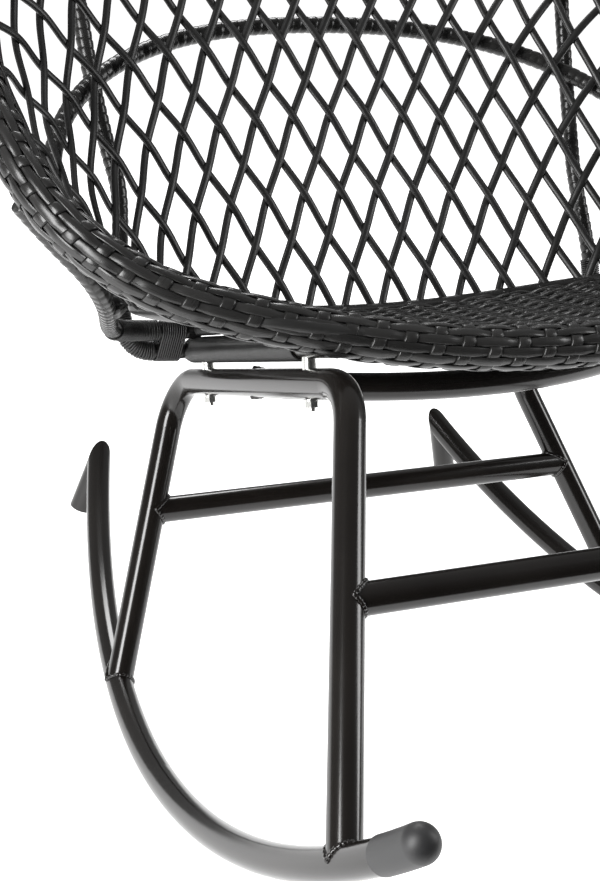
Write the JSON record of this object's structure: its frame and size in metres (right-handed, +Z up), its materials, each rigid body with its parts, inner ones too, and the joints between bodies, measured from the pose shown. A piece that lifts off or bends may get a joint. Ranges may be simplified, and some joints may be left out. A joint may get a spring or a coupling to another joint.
{
  "type": "rocking chair",
  "caption": "Bucket rocking chair with a woven cord bowl and padded woven rim on a bent steel tube base with curved runners and end caps.",
  "frame": {"origin": "on the floor in the chair's middle plane, midway between the two points where the runners touch the floor", "axes": "+X across the chair, to the right as seen from in front of it, +Y from the front to the back, +Z up"},
  "size_m": [0.885, 0.9533, 0.8535],
  "materials": {
    "frame_paint": "semi-gloss near-black brown powder coat",
    "wicker": "charcoal rattan strips and strands with a soft sheen",
    "end_cap": "dark grey moulded plastic",
    "zinc": "bright zinc plate"
  },
  "bodies": {
    "root": {"left_runner": "frame_paint", "left_rear_stop": "frame_paint", "left_leg_frame": "frame_paint", "left_front_cap": "end_cap", "left_seat_rail": "frame_paint", "left_rail_winding": "wicker", "left_side_rib": "wicker", "left_back_rib": "wicker", "left_lashing": "wicker", "left_wall_inner_cords": "wicker", "left_wall_outer_cords": "wicker", "right_runner": "frame_paint", "right_rear_stop": "frame_paint", "right_leg_frame": "frame_paint", "right_front_cap": "end_cap", "right_seat_rail": "frame_paint", "right_rail_winding": "wicker", "right_side_rib": "wicker", "right_back_rib": "wicker", "right_lashing": "wicker", "right_wall_inner_cords": "wicker", "right_wall_outer_cords": "wicker", "back_left_wall_inner_cords": "wicker", "back_left_wall_outer_cords": "wicker", "back_right_wall_inner_cords": "wicker", "back_right_wall_outer_cords": "wicker", "front_crossbar": "frame_paint", "rear_crossbar": "frame_paint", "under_seat_bow": "frame_paint", "rim_tube": "frame_paint", "rim_weave": "wicker", "mid_hoop": "wicker", "seat_weave": "wicker", "seat_studs": "zinc", "seat_nuts": "zinc", "seat_washers": "zinc", "rail_spacers": "zinc"}
  },
  "joints": []
}
